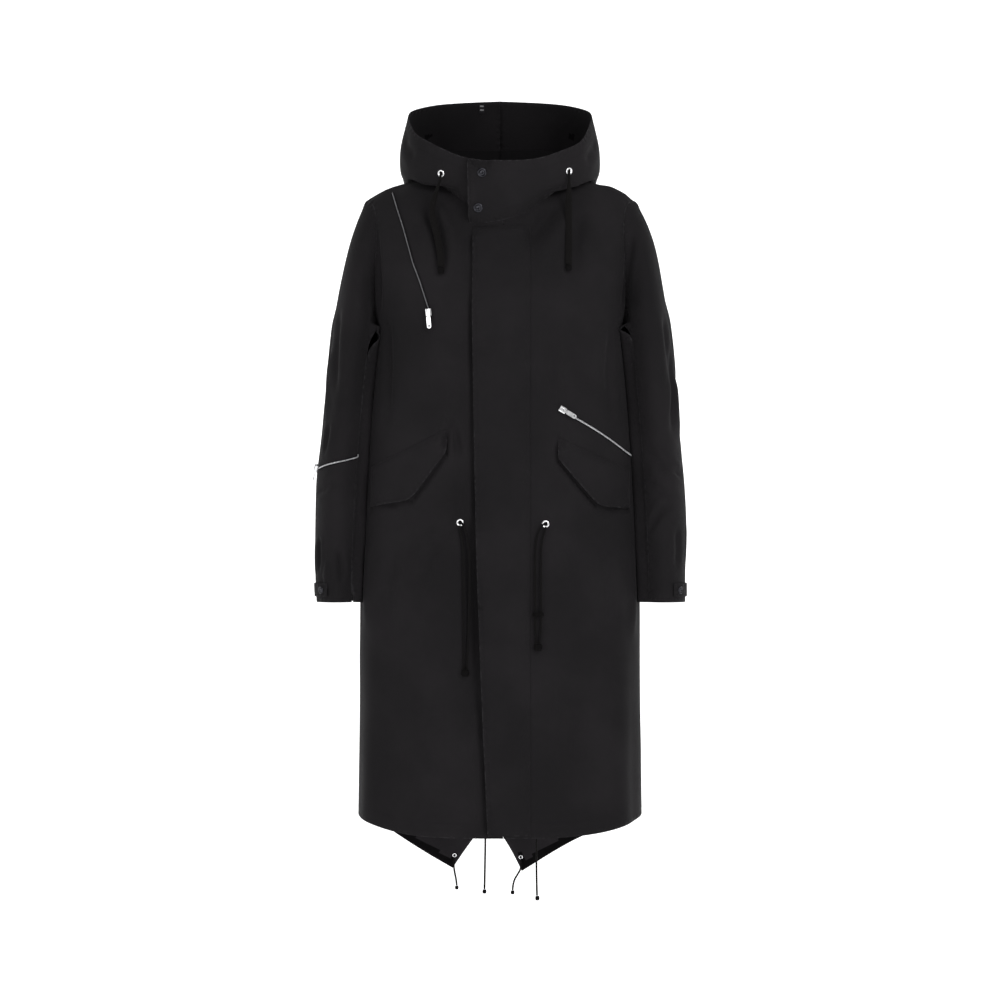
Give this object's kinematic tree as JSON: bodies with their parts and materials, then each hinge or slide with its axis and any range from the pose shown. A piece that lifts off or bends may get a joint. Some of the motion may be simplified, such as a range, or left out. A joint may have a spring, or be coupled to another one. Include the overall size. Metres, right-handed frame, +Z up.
{
  "type": "parka",
  "caption": "Long hooded parka with a standing collar-like hood, covered front closing, zip pockets, flap pockets, waist and hem drawcords and a split tail hem.",
  "frame": {"origin": "between the shoulders, where the wearer's shoulders hold the coat up, level with the highest shoulder point", "axes": "+Z up, towards the hood; -Y is the front of the coat; +X is the viewer's right as it faces the viewer"},
  "size_m": [0.5971, 0.3396, 1.2972],
  "materials": {
    "cloth": "matt black cotton",
    "zip_tape": "dark grey zip line",
    "cord": "dark braided cord",
    "silver_metal": "polished nickel",
    "gunmetal": "dark satin metal"
  },
  "bodies": {
    "parka": {"front_right": "cloth", "front_left": "cloth", "back_right": "cloth", "back_left": "cloth", "top_sleeve_right": "cloth", "under_sleeve_right": "cloth", "top_sleeve_left": "cloth", "under_sleeve_left": "cloth", "hood_right": "cloth", "hood_left": "cloth", "storm_flap": "cloth", "pocket_flap_right": "cloth", "pocket_flap_left": "cloth", "chest_zip": "zip_tape", "hip_zip": "zip_tape", "chest_zip_slider": "silver_metal", "hip_zip_slider": "silver_metal", "sleeve_zip": "zip_tape", "sleeve_zip_slider": "silver_metal", "cuff_tab_right": "cloth", "cuff_snap_right": "gunmetal", "cuff_tab_left": "cloth", "cuff_snap_left": "gunmetal", "throat_snap_upper": "gunmetal", "throat_snap_lower": "gunmetal", "hood_eyelet_right": "silver_metal", "hood_eyelet_left": "silver_metal", "waist_eyelet_right": "silver_metal", "waist_eyelet_left": "silver_metal", "tail_eyelet_right": "silver_metal", "tail_eyelet_left": "silver_metal", "hood_tab": "cloth", "hood_cord_left": "cord", "hood_cord_right": "cord", "waist_cord_left_1": "cord", "waist_cord_left_2": "cord", "waist_cord_right_1": "cord", "waist_cord_right_2": "cord", "hem_cord_front_right": "cord", "hem_cord_front_left": "cord", "tail_cord_right": "cord", "tail_cord_left": "cord", "hood_cord_end_left": "cord", "hood_cord_end_right": "cord", "waist_cord_knot_left": "cord", "waist_cord_knot_right": "cord", "hem_cord_knot_front_right": "cord", "hem_cord_knot_front_left": "cord", "tail_cord_knot_right": "cord", "tail_cord_knot_left": "cord", "waist_cord_band": "cord"},
    "chest_pull": {"chest_zip_pull": "silver_metal"},
    "hip_pull": {"hip_zip_pull": "silver_metal"},
    "sleeve_pull": {"sleeve_zip_pull": "silver_metal"}
  },
  "joints": [
    {"name": "chest_pull_hinge", "type": "hinge", "parent": "parka", "child": "chest_pull", "pos_m": [-0.11259, -0.12578, -0.21244], "axis": [-0.9521, 0.2907, -0.0952], "range_deg": [0, 120]},
    {"name": "hip_pull_hinge", "type": "hinge", "parent": "parka", "child": "hip_pull", "pos_m": [0.10086, -0.1286, -0.36377], "axis": [-0.4999, -0.1042, -0.8598], "range_deg": [0, 120]},
    {"name": "sleeve_pull_hinge", "type": "hinge", "parent": "parka", "child": "sleeve_pull", "pos_m": [-0.29386, -0.04384, -0.45563], "axis": [-0.2127, 0.8659, 0.4527], "range_deg": [0, 100]}
  ]
}
